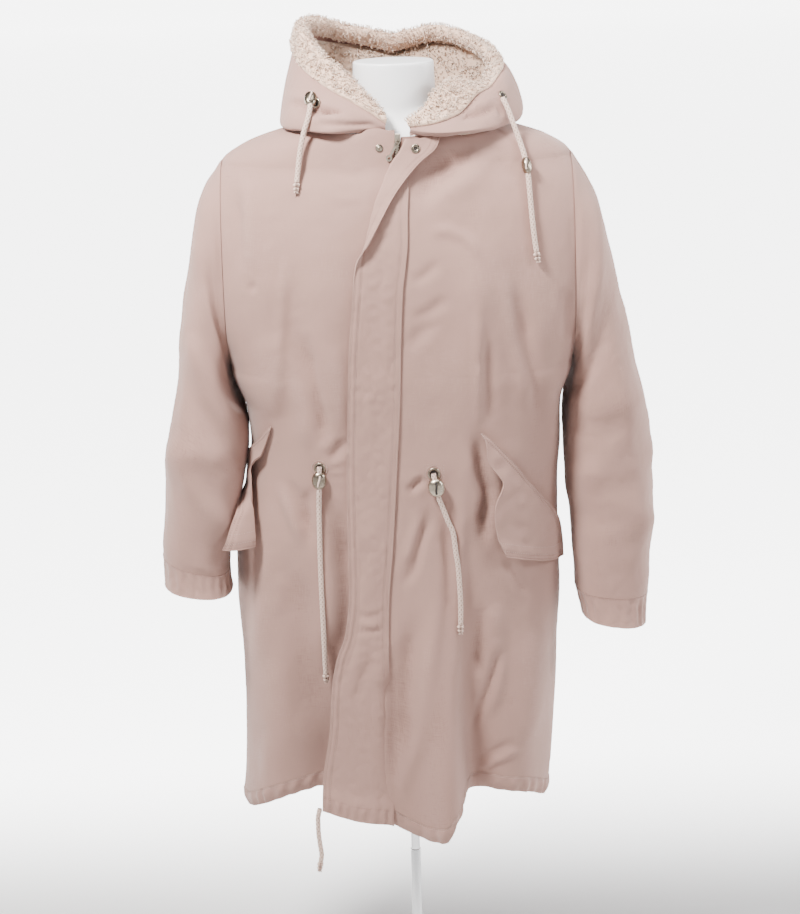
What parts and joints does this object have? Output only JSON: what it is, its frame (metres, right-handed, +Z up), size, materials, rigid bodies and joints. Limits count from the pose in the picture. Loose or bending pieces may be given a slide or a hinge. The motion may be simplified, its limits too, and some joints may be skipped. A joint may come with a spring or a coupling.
{
  "type": "fur trimmed parka on a dress form stand",
  "caption": "Knee-length cotton parka with a fur-lined hood, worn open at the neck on a limbless dress form on a round stand.",
  "frame": {"origin": "centre of the stand's underside, on the floor", "axes": "+Z up the pole, -Y out of the coat's front, +X towards the wearer's left"},
  "size_m": [0.6995, 0.4039, 1.5061],
  "materials": {
    "cotton": "washed cotton twill",
    "teddy_fur": "curly teddy fur",
    "cord": "braided cotton cord",
    "old_brass": "aged, semi-gloss",
    "form_skin": "smooth white",
    "stand_metal": "polished",
    "base_metal": "satin"
  },
  "bodies": {
    "parka": {"back": "cotton", "cuff_left": "cotton", "cuff_right": "cotton", "dress_form": "form_skin", "front_left": "cotton", "front_right": "cotton", "hem_channel_back": "cotton", "hem_channel_front_left": "cotton", "hem_channel_front_right": "cotton", "hem_cord": "cord", "hem_cord_end": "cord", "hood_cord_left": "cord", "hood_cord_left_end": "cord", "hood_cord_right": "cord", "hood_cord_right_end": "cord", "hood_eyelet_left": "old_brass", "hood_eyelet_right": "old_brass", "hood_lining_left": "teddy_fur", "hood_lining_right": "teddy_fur", "hood_shell_left": "cotton", "hood_shell_right": "cotton", "hood_stopper_left": "old_brass", "hood_stopper_right": "old_brass", "hood_trim_left": "teddy_fur", "hood_trim_right": "teddy_fur", "pocket_flap_left": "cotton", "pocket_flap_right": "cotton", "sleeve_left": "cotton", "sleeve_right": "cotton", "snap_socket": "old_brass", "snap_stud": "old_brass", "stand_base": "base_metal", "stand_pole": "stand_metal", "storm_flap": "cotton", "waist_cord_left": "cord", "waist_cord_left_end": "cord", "waist_cord_right": "cord", "waist_cord_right_end": "cord", "waist_eyelet_left": "old_brass", "waist_eyelet_right": "old_brass", "waist_stopper_left": "old_brass", "waist_stopper_right": "old_brass", "zip_chain": "old_brass", "zip_slider": "old_brass", "zip_tape": "cotton"},
    "pull": {"zip_pull": "old_brass"}
  },
  "joints": [
    {"name": "zip_pull_hinge", "type": "hinge", "parent": "parka", "child": "pull", "pos_m": [0.00003, -0.10649, 1.3475], "axis": [-0.866, 0, 0.5], "range_deg": [0, 110]}
  ]
}
